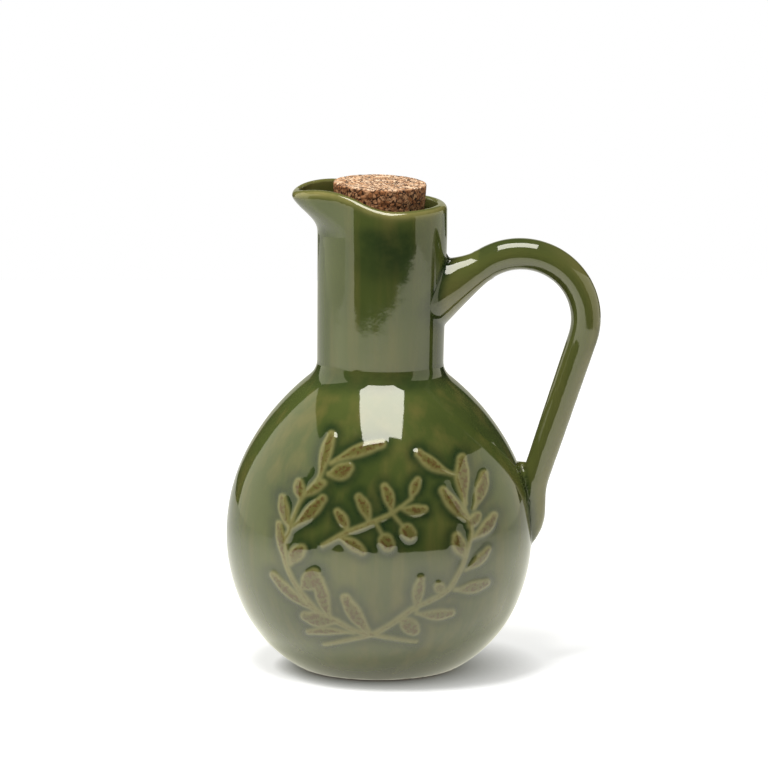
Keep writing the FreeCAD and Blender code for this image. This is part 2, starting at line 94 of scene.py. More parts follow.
def evenMesh(node, voxel):  # an even quad mesh over the form of a CAD node, in millimetres
    source = addObject("evenSource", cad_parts[node].data.copy())
    shape = bmesh.new()
    shape.from_mesh(source.data)
    bmesh.ops.remove_doubles(shape, verts=shape.verts, dist=1e-6)
    shape.to_mesh(source.data)
    shape.free()
    grid = source.modifiers.new("grid", "REMESH")
    grid.mode = "VOXEL"
    grid.voxel_size = voxel * mm
    view = bpy.context.evaluated_depsgraph_get()
    mesh = bpy.data.meshes.new_from_object(source.evaluated_get(view))
    bpy.data.objects.remove(source)
    shape = bmesh.new()
    shape.from_mesh(mesh)
    bpy.data.meshes.remove(mesh)
    bmesh.ops.scale(shape, vec=(1 / mm,) * 3, verts=shape.verts)
    return shape


def places(shape):
    return np.array([vertex.co for vertex in shape.verts])


def refine(shape, inside):  # halve the edges whose two ends both lie in the region
    chosen = inside(places(shape))
    for number, vertex in enumerate(shape.verts):
        vertex.index = number
    edges = [edge for edge in shape.edges if chosen[edge.verts[0].index] and chosen[edge.verts[1].index]]
    bmesh.ops.subdivide_edges(shape, edges=edges, cuts=1, use_grid_fill=True)


def relax(points, pairs, rounds):  # even out the spacing of the points along the surface
    count = np.bincount(pairs.ravel(), minlength=len(points))[:, None]
    for _ in range(rounds):
        total = np.zeros_like(points)
        for axis in range(3):
            total[:, axis] = (np.bincount(pairs[:, 0], points[pairs[:, 1], axis], len(points))
                              + np.bincount(pairs[:, 1], points[pairs[:, 0], axis], len(points)))
        points = 0.5 * points + 0.5 * total / count
    return points


def slopeOf(field, points, step=0.02):
    return np.stack([(field(points + shift) - field(points - shift)) / (2 * step)
                     for shift in np.eye(3) * step], axis=1)


def settle(points, field, rounds):  # move the points along the slope until they lie on field = 0
    for _ in range(rounds):
        slope = slopeOf(field, points)
        steep = np.maximum((slope ** 2).sum(axis=1), 0.05)
        move = np.clip(field(points) / steep, -1.5, 1.5)
        points = points - slope * move[:, None]
    return points


def easeTurn(points, normals):  # the bend of the handle passes into its straight part little by little
    centreX, centreZ, radius = jug["handleTop"]
    slant, width = math.radians(jug["handleSlant"]), jug["easeWidth"]
    x, z = points[:, 0] - centreX, points[:, 2] - centreZ
    past = (-(x - radius * math.cos(slant)) * math.sin(slant)
            - (z + radius * math.sin(slant)) * math.cos(slant))
    turn = np.maximum(width - np.abs(past), 0) ** 2 / (4 * width * radius) * (x > jug["easeFrom"])
    turned = normals.copy()
    turned[:, 0] = normals[:, 0] * np.cos(turn) - normals[:, 2] * np.sin(turn)
    turned[:, 2] = normals[:, 0] * np.sin(turn) + normals[:, 2] * np.cos(turn)
    return turned


def finishMesh(name, shape, points, normals, marks):
    for vertex, place in zip(shape.verts, points * mm):
        vertex.co = place
    for face in shape.faces:
        face.smooth = True
    mesh = bpy.data.meshes.new(name)
    shape.to_mesh(mesh)
    shape.free()
    for mark, values in marks.items():
        mesh.attributes.new(mark, "FLOAT", "POINT").data.foreach_set("value", np.asarray(values, np.float32))
    if normals is not None:
        mesh.normals_split_custom_set_from_vertices([tuple(n) for n in normals])
    return addObject(name, mesh)


# a long lens, looking down on the table a little
camera = {
    "lens": 520.8, "distance": 4.0,    # millimetres of focal length, metres away
    "height": 11.0,                    # degrees above the table
    "aim": (1.8, 0.0, 103.35), "sensor": 36.0, "farthest": 20.0,
}

eye = bpy.data.cameras.new("camera")
eye.lens = camera["lens"]
eye.sensor_width = camera["sensor"]
eye.clip_end = camera["farthest"]
cameraObject = addObject("camera", eye)
rise = math.radians(camera["height"])
aim = [c * mm for c in camera["aim"]]
cameraObject.location = (aim[0], aim[1] - camera["distance"] * math.cos(rise),
                         aim[2] + camera["distance"] * math.sin(rise))
cameraObject.rotation_euler = (math.pi / 2 - rise, 0.0, 0.0)
bpy.context.scene.camera = cameraObject
bpy.context.scene.view_settings.view_transform = "Standard"
print("camera placed")


# the form of the jug, in millimetres; each form function gives a distance that is below zero inside it
jug = {
    "belly": (55.1, 48.8),             # widest radius and its height
    "lowerArc": 63.9, "heelDrop": 25.4, "upperArc": 65.8, "shoulderRise": 33.1, "shoulderArc": 89.1,
    "foot": 27.4, "footEdge": 1.0, "wall": 4.8, "floor": 6.0, "floorEdge": 7.0, "cavityTop": 109.4,
    "neckFoot": 81.9, "neck": 22.4, "neckHollow": 3.2,
    "mouth": 23.3, "mouthShift": 1.2, "spoutFrom": 158.5, "spoutFull": 176.0,
    "spoutReach": 32.0, "spoutRound": 13.8,
    "rim": 169.8, "crest": 176.2, "riseFrom": 8.0, "riseTo": -20.0, "droop": 32.0,
    "lipWall": 3.6, "lipOutside": 2.6, "lipInside": 1.0,
    "throatFrom": 161.0, "throatFull": 173.5, "throat": 15.25, "throatCurve": 4.4,
    "bore": 15.5, "boreWiden": 1.65 / 26.0, "boreFrom": 76.0,
    "handleTop": (50.86, 127.49, 23.54), "handleSlope": 34.0, "handleSlant": 18.38,
    "handleTail": (85.2, 61.0, 30.0), "handleHook": (40.2, 57.5, 15.0), "hookTurn": 50.0,
    "handleRadii": (5.75, 4.75), "rootFrom": (15.0, 133.2), "rootTo": (37.7, 147.0), "rootFlare": 10.6,
    "rootMerge": 0.6, "crease": 0.8,
    "sway": (0.010, 0.03), "ring": (0.003, 0.006), "drift": 0.02,   # waves, most of them on the belly
    "calmRounds": 40,                  # how much the handle's reflections are evened out
    "easeWidth": 22.0, "easeFrom": 8.0,
    "grid": 2.22,                      # edge length of the mesh before the fine regions are halved
    # where the mesh is made finer: beyond a place on one axis, or a width and then the places
    "mesh": {
        "front": -14.0, "top": 156.0, "side": (24.0, 80.0), "handle": 52.0,
        "joints": (15.0, 18.0, 110.0), "neckFoot": (100.0, 116.0),
        "relief": -18.0, "reliefSide": 43.0, "reliefBorder": 4.0,
        "rim": (4.5, 162.0), "crease": (2.4, 15.0, 50.0),
        "lining": 1.4,                 # stays coarse further inside than this
        "calm": (2.5, 3.0, 22.0),      # where on the handle its reflections are evened out
    },
    # where the glaze thins or runs together, and where shade and light are painted into its colour: places,
    # and how strong it is there
    "flow": {
        "wall": 2.4, "wreathTurn": -0.12, "wreathFront": -10.0, "crease": 3.0,
        # painted shade: the front of the neck under the lip is darkened with the pool colour
        "shadeUnderLip": {"z": (138, 18, 167, 6), "middle": 4, "half": 21},
        # painted shade: a dark ring in the hollow at the neck's foot
        "neckFoot": {"z": (103, 4, 114, 5), "before": 24, "depth": 0.6},
        "handle": {"from": 20, "over": 3.0, "thin": 0.6, "facing": (0.1, 0.7)},
        "crown": {"from": 36, "depth": 0.5, "facing": (0.2, 0.6)},
        "lip": {"width": 4.2, "from": 160, "inside": 0.35},
        # painted light: the inside of the spout by its mouth is lightened with the handle colour
        "throat": {"from": 163, "rise": 6, "reach": 12},
        "bare": {"below": 0.5, "border": 0.3},
    },
}
cork = {
    "top": (0.4, 0.0, 177.2), "lean": 1.8, "length": 26.0, "grid": 0.42,
    "granule": 2.1, "crack": 0.34, "crackShare": 0.75,      # size, widest gap, share that stands apart
    "speck": 0.95, "speckHole": 0.45, "speckShare": 0.20, "seeds": (3.1, 8.7),
    "pit": 0.42, "crackDepth": 0.75, "grainStep": 0.10, "deepest": 0.6,
    "topDepth": 0.45,                  # how deep the pits of the top are next to those of the side
    "side": (14.6, 0.9, 0.1, 0.5),     # where the side begins: radius, border, depth, border
    "bend": 0.35, "bendRate": 2.3,     # how the granules' borders are bent
}


def roundOff(a, b, radius):  # what two forms have in common, with a rounded edge
    corner = np.hypot(np.maximum(a + radius, 0), np.maximum(b + radius, 0))
    return np.minimum(np.maximum(a, b), -radius) + corner


def merge(a, b, width):  # two forms joined with a smooth hollow between them
    near = np.maximum(width - np.abs(a - b), 0) / width
    return np.minimum(a, b) - near * near * width / 4


def bellyArcs():  # centre, height and radius of the heel, lower, upper and shoulder arcs
    radius, level = jug["belly"]
    sinDown, sinUp = jug["heelDrop"] / jug["lowerArc"], jug["shoulderRise"] / jug["upperArc"]
    cosDown, cosUp = math.sqrt(1 - sinDown ** 2), math.sqrt(1 - sinUp ** 2)
    lower, upper, shoulder, edge = jug["lowerArc"], jug["upperArc"], jug["shoulderArc"], jug["footEdge"]
    across = radius - lower + lower * cosDown - jug["foot"]
    up = level - jug["heelDrop"] - edge
    heel = (across ** 2 + up ** 2 - edge ** 2) / (across * cosDown - up * sinDown - edge) / 2
    lowMid, upMid = radius - lower, radius - upper
    return {"lower": (lowMid, level, lower), "upper": (upMid, level, upper),
            "heel": (lowMid + (lower - heel) * cosDown, level - (lower - heel) * sinDown, heel),
            "shoulder": (upMid + (upper - shoulder) * cosUp, level + (upper - shoulder) * sinUp, shoulder),
            "turns": (sinDown / cosDown, sinUp / cosUp)}


arcs = bellyArcs()


def bellyForm(r, z, inset, floor, edge):
    def off(name):
        middle, level, radius = arcs[name]
        return np.hypot(r - middle, z - level) - radius
    level = jug["belly"][1]
    steepDown, steepUp = arcs["turns"]
    under = np.where(level - z > steepDown * (r - arcs["lower"][0]), off("heel"), off("lower"))
    over = np.where(z - level > steepUp * (r - arcs["upper"][0]), off("shoulder"), off("upper"))
    return roundOff(np.where(z < level, under, over) + inset, floor - z, edge)


def dropForm(x, y, share, radius, shift, tip, tipRound):  # a circle drawn out towards -X to a rounder tip
    plainTip = radius - shift
    reach = plainTip + (tip - plainTip) * share
    small = radius + (tipRound - radius) * share
    apart = np.maximum(shift + reach - small, 1e-6)
    side, along = np.abs(y), shift - x
    lean = (radius - tipRound) / (tip - tipRound + shift)
    level = np.sqrt(1 - lean ** 2)
    place = -lean * side + level * along
    flank = side * level + along * lean - radius
    return np.where(place < 0, np.hypot(side, along) - radius,
                    np.where(place > level * apart, np.hypot(side, along - apart) - small, flank))


def rimHeight(x):  # level at the handle, rising in an S to the spout, then drooping
    start, end, low, crest = jug["riseFrom"], jug["riseTo"], jug["rim"], jug["crest"]
    bend = ((start - end) ** 2 + (crest - low) ** 2) / (4 * (crest - low))
    first = low + bend - np.sqrt(np.maximum(bend ** 2 - (start - x) ** 2, 0))
    second = crest - bend + np.sqrt(np.maximum(bend ** 2 - (x - end) ** 2, 0))
    third = crest - jug["droop"] + np.sqrt(np.maximum(jug["droop"] ** 2 - (end - x) ** 2, 0))
    rising = np.where(x >= (start + end) / 2, first, np.where(x >= end, second, third))
    return np.where(x >= start, low, rising)


def handleForm(x, y, z):  # a round bar over the top bend, straight down, and round into the belly
    (topX, topZ, topR), (tailX, tailZ, tailR), (hookX, hookZ, hookR) = (
        jug["handleTop"], jug["handleTail"], jug["handleHook"])
    slant, slope, hook = (math.radians(jug[k]) for k in ("handleSlant", "handleSlope", "hookTurn"))
    start = (topX + topR * math.cos(slant), topZ - topR * math.sin(slant))
    end = (tailX - tailR * math.cos(slant), tailZ + tailR * math.sin(slant))

    def bend(middleX, middleZ, radius, low, high, way):
        turn = np.arctan2(z - middleZ, x - middleX)
        turn = np.clip(np.where(turn < low - math.pi / 2, turn + 2 * math.pi, turn), low, high)
        gap = np.hypot(x - middleX - radius * np.cos(turn), z - middleZ - radius * np.sin(turn))
        return gap, radius * (turn - low if way > 0 else high - turn), radius * (high - low)

    def straight(a, b):
        length = math.dist(a, b)
        share = np.clip(((x - a[0]) * (b[0] - a[0]) + (z - a[1]) * (b[1] - a[1])) / length ** 2, 0, 1)
        gap = np.hypot(x - a[0] - (b[0] - a[0]) * share, z - a[1] - (b[1] - a[1]) * share)
        return gap, length * share, length

    runs = [bend(topX, topZ, topR, -slant, math.pi / 2 + slope, -1), straight(start, end),
            bend(tailX, tailZ, tailR, math.pi - slant, math.pi, 1),
            straight((tailX - tailR, tailZ), (hookX + hookR, hookZ)),
            bend(hookX, hookZ, hookR, -hook, 0.0, -1)]
    whole, before, best = sum(run[2] for run in runs), 0.0, 99.0
    wide, slim = jug["handleRadii"]
    for gap, along, length in runs:
        best = np.minimum(best, np.hypot(gap, y) - wide - (slim - wide) * (before + along) / whole)
        before += length
    return best


def rootForm(x, y, z):  # circles that narrow and tilt from inside the neck to the start of the handle
    (fromX, fromZ), (toX, toZ) = jug["rootFrom"], jug["rootTo"]
    length = math.dist(jug["rootFrom"], jug["rootTo"])
    share = np.zeros_like(x)
    for _ in range(4):
        tilt = math.radians(jug["handleSlope"]) * share
        away = ((x - fromX - (toX - fromX) * share) * np.cos(tilt)
                + (z - fromZ - (toZ - fromZ) * share) * np.sin(tilt))
        share = np.clip(share + away / length, 0, 1.12)
    sideways = (-(x - fromX - (toX - fromX) * share) * np.sin(tilt)
                + (z - fromZ - (toZ - fromZ) * share) * np.cos(tilt))
    size = jug["handleRadii"][0] + jug["rootFlare"] * np.maximum(1 - share, 0) ** 1.5
    off = np.hypot(sideways, y) - size
    return np.maximum(np.maximum(off, (share - 1.0) * length), fromX - 3 - x)


def neckForm(x, y, z):
    share = np.clip((z - jug["neckFoot"]) / (jug["spoutFrom"] - jug["neckFoot"]), 0, 1)
    radius = jug["neck"] + (jug["mouth"] - jug["neck"]) * share
    plain = np.hypot(x - jug["mouthShift"] * share, y) - radius
    drawn = smootherStep((z - jug["spoutFrom"]) / (jug["spoutFull"] - jug["spoutFrom"]))
    mouth = dropForm(x, y, drawn, jug["mouth"], jug["mouthShift"], jug["spoutReach"], jug["spoutRound"])
    return np.maximum(np.where(z > jug["spoutFrom"], mouth, plain), 60.0 - z)


def corkAxis(x, y, z):  # depth under the cork's top face, and distance from its axis
    lean = math.radians(cork["lean"])
    dx, dz = x - cork["top"][0], z - cork["top"][2]
    depth = -(dx * math.sin(lean) + dz * math.cos(lean))
    return depth, np.hypot(dx * math.cos(lean) - dz * math.sin(lean), y)


def hollowForm(x, y, z):
    cavity = bellyForm(np.hypot(x, y), z, jug["wall"], jug["floor"], jug["floorEdge"])
    cavity = np.maximum(cavity, z - jug["cavityTop"])
    depth, away = corkAxis(x, y, z)
    bore = away - jug["bore"] - jug["boreWiden"] * np.maximum(cork["length"] - depth, 0)
    bore = np.maximum(bore, jug["boreFrom"] - z)
    share = (z - jug["throatFrom"]) / (jug["throatFull"] - jug["throatFrom"])
    opened = 1 - (1 - np.clip(share, 0, 1)) ** jug["throatCurve"]
    wide = jug["mouth"] - jug["lipWall"]
    radius, shift = jug["throat"] + (wide - jug["throat"]) * opened, jug["mouthShift"] * opened
    funnel = dropForm(x, y, smoothStep(share), radius, shift,
                      jug["spoutReach"] - jug["lipWall"], jug["spoutRound"] - jug["lipWall"])
    funnel = np.maximum(funnel, (jug["throatFrom"] - z) * 0.7)
    return merge(merge(cavity, bore, 1.5), funnel, 1.2)


def outerForm(x, y, z):
    belly = bellyForm(np.hypot(x, y), z, 0.0, 0.0, jug["footEdge"])
    pot = merge(belly, neckForm(x, y, z), jug["neckHollow"])
    return merge(pot, merge(rootForm(x, y, z), handleForm(x, y, z), jug["rootMerge"]), jug["crease"])


def potForm(x, y, z):  # belly and neck without the handle
    return np.minimum(bellyForm(np.hypot(x, y), z, 0.0, 0.0, jug["footEdge"]), neckForm(x, y, z))


def rimForm(x, y, z):
    step = 0.05
    steep = (rimHeight(x + step) - rimHeight(x - step)) / (2 * step)
    return (z - rimHeight(x)) / np.sqrt(1 + steep ** 2)


def handMade(x, y, z):  # slight waves of a hand-finished form, calmer on the neck
    belly = smoothStep((106 - z) / 16)
    sway = np.sin(x * 0.17 + 0.6 * np.sin(z * 0.09) + 1.0) * np.sin(y * 0.15 + 0.5)
    ring = np.sin(z * 0.62 + 1.1 * np.sin(x * 0.11) + 0.8 * np.cos(y * 0.13))
    drift = np.sin(z * 0.21 + x * 0.13)
    return ((jug["sway"][0] + jug["sway"][1] * belly) * sway
            + (jug["ring"][0] + jug["ring"][1] * belly) * ring + jug["drift"] * belly * drift)


def jugForm(points):
    x, y, z = points.T
    outside = outerForm(x, y, z) - handMade(x, y, z) * band(z, 2, 8, 166, 8)  # calm at foot and rim
    outside = roundOff(outside, rimForm(x, y, z), jug["lipOutside"])
    return roundOff(outside, -hollowForm(x, y, z), jug["lipInside"])


# the raised wreath and the sprig inside it, seen straight from the front: X and Z in millimetres
wreath = {
    "height": 1.1, "edge": 2.2, "stem": 1.0,
    "slopeShown": 0.45,                # share of the slope that the gloss shows
    "fullness": 0.58,                  # half width of a leaf to its width as listed
    "pooled": 4.6,                     # how far the glaze pools round the relief
    "reach": (-46.0, 46.0, 8.0, 100.0), "step": 0.2,
    "leftStem": [(13.2, 18.7), (-2.7, 22.1), (-8.8, 23.7), (-14.8, 26.7), (-20.9, 29.6), (-24.7, 33.3),
                 (-27.7, 37.0), (-30.7, 41.4), (-33.0, 46.6), (-33.8, 51.1), (-33.0, 55.0), (-31.5, 59.0),
                 (-30.7, 62.1), (-28.4, 68.2), (-25.4, 72.8), (-21.6, 77.4), (-19.7, 81.7)],
    "rightStem": [(-19.4, 16.9), (-11.8, 19.3), (-2.7, 22.1), (3.4, 25.5), (8.7, 29.5), (13.2, 32.6),
                  (18.5, 34.7), (24.6, 38.2), (28.4, 44.1), (30.6, 49.3), (32.2, 55.2), (32.9, 58.8),
                  (31.4, 63.4), (29.9, 68.0), (28.4, 73.9), (26.9, 78.2)],
    # each leaf: foot, tip, width, bend to its left
    "leaves": [
        (-2.7, 22.1, -12.9, 37.5, 5.2, 0.6), (-8.8, 22.4, -26.2, 21.4, 3.2, -1.0),
        (-14.8, 26.7, -28.1, 27.9, 5.6, 0.4), (-17.1, 27.4, -21.6, 44.0, 4.9, 0.6),
        (-21.6, 30.3, -38.7, 42.5, 4.2, 1.2), (-26.9, 38.7, -21.3, 46.0, 6.4, -0.6),
        (-32.2, 45.2, -35.6, 61.7, 3.6, 0.4), (-31.1, 46.9, -26.2, 54.4, 5.0, 0.6),
        (-31.5, 59.0, -34.5, 70.9, 3.9, 0.6), (-30.7, 59.8, -18.6, 72.0, 4.3, -0.4),
        (-27.7, 69.7, -28.4, 77.0, 4.3, 0.2), (-26.9, 70.5, -18.6, 76.9, 3.5, 0.3),
        (-20.9, 76.7, -16.3, 93.1, 4.1, 0.5), (-17.8, 79.1, -8.8, 82.3, 5.2, -0.8),
        (-17.1, 82.6, 2.6, 90.0, 4.1, 0.8), (7.9, 27.9, 14.0, 21.7, 5.8, 0.4),
        (13.2, 30.1, 27.2, 28.9, 4.2, -0.6), (13.2, 31.0, 15.1, 44.5, 4.2, 0.4),
        (22.3, 37.6, 20.4, 41.7, 3.9, 0.2), (26.9, 37.9, 39.7, 38.7, 4.6, -0.6),
        (30.6, 44.6, 39.7, 51.6, 3.7, -0.8), (30.6, 49.3, 26.9, 58.8, 4.6, 0.6),
        (32.9, 55.8, 42.0, 63.0, 4.5, -1.0), (32.9, 61.0, 21.6, 74.6, 4.1, 0.6),
        (33.7, 66.0, 37.8, 77.9, 4.6, -0.6), (30.6, 67.9, 29.1, 84.7, 4.9, 0.4),
        (26.1, 78.3, 12.8, 86.9, 3.9, 0.8), (32.0, 60.0, 36.0, 64.4, 4.2, 0.2)],
    "twig": [(-20.0, 54.6), (-12.0, 59.4), (-3.4, 63.0), (4.6, 66.6), (11.6, 71.4)],
    "twigLeaves": [
        (11.4, 71.2, 14.2, 78.6, 3.6, 0.2), (4.4, 66.8, 1.6, 77.0, 4.0, -0.6),
        (-3.4, 63.2, -7.8, 73.4, 4.2, -0.7), (-11.0, 60.0, -15.4, 68.0, 3.8, -0.6),
        (7.4, 68.4, 17.6, 67.4, 3.8, -0.7), (-14.6, 58.0, -4.4, 52.4, 4.0, 0.7)],
    # each olive: stalk foot, middle, half length, half width
    "olives": [(-1.4, 63.8, 2.8, 56.4, 3.7, 2.9), (4.6, 66.6, 10.4, 59.8, 3.6, 2.8)],
}


def alongCurve(points, count):  # places along a smooth line through the points
    points = np.array(points, float)
    given = np.concatenate([[0], np.cumsum(np.hypot(*np.diff(points, axis=0).T))])
    padded = np.vstack([2 * points[0] - points[1], points, 2 * points[-1] - points[-2]])
    made = []
    for at in np.linspace(0, given[-1], count):
        i = min(int(np.searchsorted(given, at, side="right")) - 1, len(points) - 2)
        t = (at - given[i]) / (given[i + 1] - given[i])
        a, b, c, d = padded[i:i + 4]
        made.append(0.5 * (2 * b + (c - a) * t + (2 * a - 5 * b + 4 * c - d) * t * t
                           + (3 * b - a - 3 * c + d) * t ** 3))
    return np.array(made)


def wreathStrokes():  # every part of the relief as a line of places with a half width at each
    strokes = []
    for name in ("leftStem", "rightStem", "twig"):
        line = alongCurve(wreath[name], 44 if name != "twig" else 18)
        share = np.linspace(0, 1, len(line))
        strokes.append((line, wreath["stem"] * (0.72 + 0.45 * np.sin(math.pi * np.clip(share + 0.12, 0, 1)))))
    for footX, footZ, tipX, tipZ, width, bend in wreath["leaves"] + wreath["twigLeaves"]:
        t = np.linspace(0, 1, 13)
        alongX, alongZ = tipX - footX, tipZ - footZ
        length = math.hypot(alongX, alongZ)
        curve = 4 * t * (1 - t) * bend
        line = np.stack([footX + alongX * t - alongZ / length * curve,
                         footZ + alongZ * t + alongX / length * curve], 1)
        half = wreath["fullness"] * width * (0.34 + 0.62 * smoothStep(t / 0.62))
        half = half * (1 - 0.30 * smoothStep((t - 0.68) / 0.32))
        cut = half[-1] / length  # the round end stops at the tip
        strokes.append((line * (1 - cut) + line[0] * cut, half))
    for stalkX, stalkZ, midX, midZ, long, wide in wreath["olives"]:
        way = np.array([midX - stalkX, midZ - stalkZ])
        way /= np.hypot(*way)
        middle = np.array([midX, midZ])
        strokes.append((np.array([[stalkX, stalkZ], middle - way * long * 0.8]), np.array([0.75, 0.7])))
        spread = long - wide
        strokes.append((np.array([middle - way * spread, middle + way * spread]),
                        np.array([wide, wide * 0.94])))
    return strokes


def blurred(grid, radius):  # a soft blur, three box passes each way
    half = max(int(round(radius / wreath["step"] / 1.7)), 1)
    for _ in range(3):
        for axis in (0, 1):
            wide = np.concatenate([np.repeat(grid.take([0], axis), half + 1, axis), grid,
                                   np.repeat(grid.take([-1], axis), half, axis)], axis)
            total = np.cumsum(wide, axis)
            count = grid.shape[axis]
            grid = (total.take(range(2 * half + 1, 2 * half + 1 + count), axis)
                    - total.take(range(count), axis)) / (2 * half + 1)
    return grid


def wreathMaps():
    lowX, highX, lowZ, highZ = wreath["reach"]
    xs, zs = np.arange(lowX, highX, wreath["step"]), np.arange(lowZ, highZ, wreath["step"])
    x, z = np.meshgrid(xs, zs, indexing="ij")
    outline = np.full(x.shape, 9.0)
    for line, half in wreathStrokes():
        low, high = line.min(0) - half.max() - 3, line.max(0) + half.max() + 3
        i0, i1 = np.searchsorted(xs, (low[0], high[0]))
        j0, j1 = np.searchsorted(zs, (low[1], high[1]))
        atX, atZ = x[i0:i1, j0:j1], z[i0:i1, j0:j1]
        best = np.full(atX.shape, 9.0)
        for (ax, az), (bx, bz), ra, rb in zip(line[:-1], line[1:], half[:-1], half[1:]):
            t = ((atX - ax) * (bx - ax) + (atZ - az) * (bz - az)) / ((bx - ax) ** 2 + (bz - az) ** 2)
            t = np.clip(t, 0, 1)
            apart = np.hypot(atX - ax - (bx - ax) * t, atZ - az - (bz - az) * t)
            best = np.minimum(best, apart - ra - (rb - ra) * t)
        outline[i0:i1, j0:j1] = merge(outline[i0:i1, j0:j1], best, 0.5)
    deep = np.clip((0.5 - outline) / wreath["edge"], 0, 1)
    body = blurred(1 - (1 - deep) ** 2, 0.55)
    swell = blurred(smoothStep(0.5 - outline / 2.0), 1.6)
    return {
        "height": wreath["height"] * (0.8 * body + 0.2 * swell),
        "relief": blurred(smoothStep((0.5 - outline) / 1.6), 0.4),
        "core": blurred(smoothStep((-outline - 0.5) / 0.9), 0.35),
        "poolAndShade": blurred(smoothStep((wreath["pooled"] - outline) / wreath["pooled"]), 0.7),
    }


def readMap(grid, x, z):
    lowX, _, lowZ, _ = wreath["reach"]
    i = np.clip((x - lowX) / wreath["step"], 0, grid.shape[0] - 1.001)
    j = np.clip((z - lowZ) / wreath["step"], 0, grid.shape[1] - 1.001)
    i0, j0 = i.astype(int), j.astype(int)
    di, dj = i - i0, j - j0
    return ((grid[i0, j0] * (1 - di) + grid[i0 + 1, j0] * di) * (1 - dj)
            + (grid[i0, j0 + 1] * (1 - di) + grid[i0 + 1, j0 + 1] * di) * dj)


